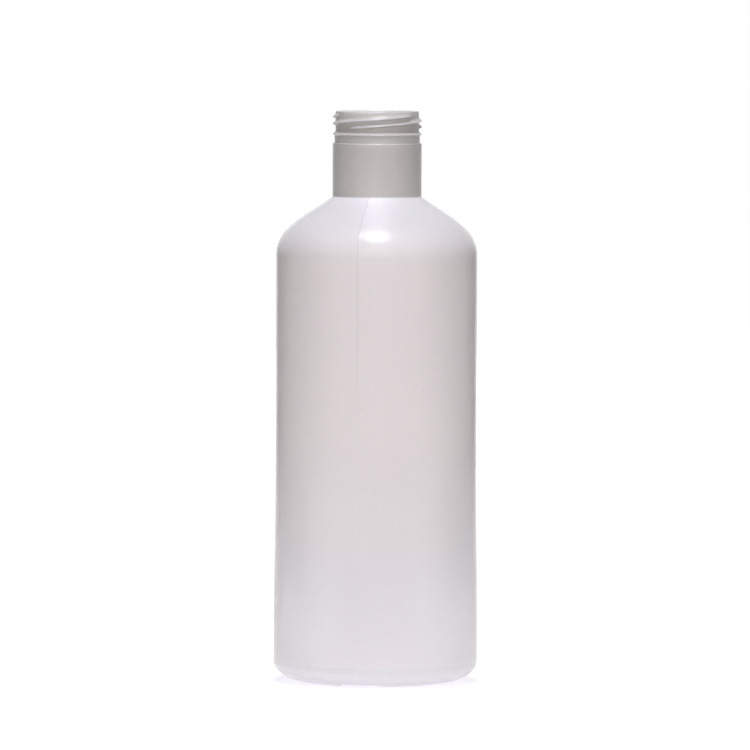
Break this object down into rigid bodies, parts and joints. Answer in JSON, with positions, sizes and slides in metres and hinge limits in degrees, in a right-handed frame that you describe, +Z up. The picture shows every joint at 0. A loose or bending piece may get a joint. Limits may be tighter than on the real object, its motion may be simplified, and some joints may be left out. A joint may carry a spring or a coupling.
{
  "type": "round bottle",
  "caption": "Tall round bottle blown in one piece, with a sloping shoulder, a plain collar, a three-start screw neck with a snap bead, and an open mouth.",
  "frame": {"origin": "middle of the bottle's footprint, in the plane of the standing ring", "axes": "+Z up the bottle towards the mouth; -Y is the side that faces the viewer; the parting line runs 10.8 degrees to the left of -Y"},
  "size_m": [0.0848, 0.0848, 0.238],
  "materials": {
    "natural_polyethylene": "milky, slightly translucent natural polyethylene with a satin, lightly waxy surface"
  },
  "bodies": {
    "root": {"bottle": "natural_polyethylene"}
  },
  "joints": []
}
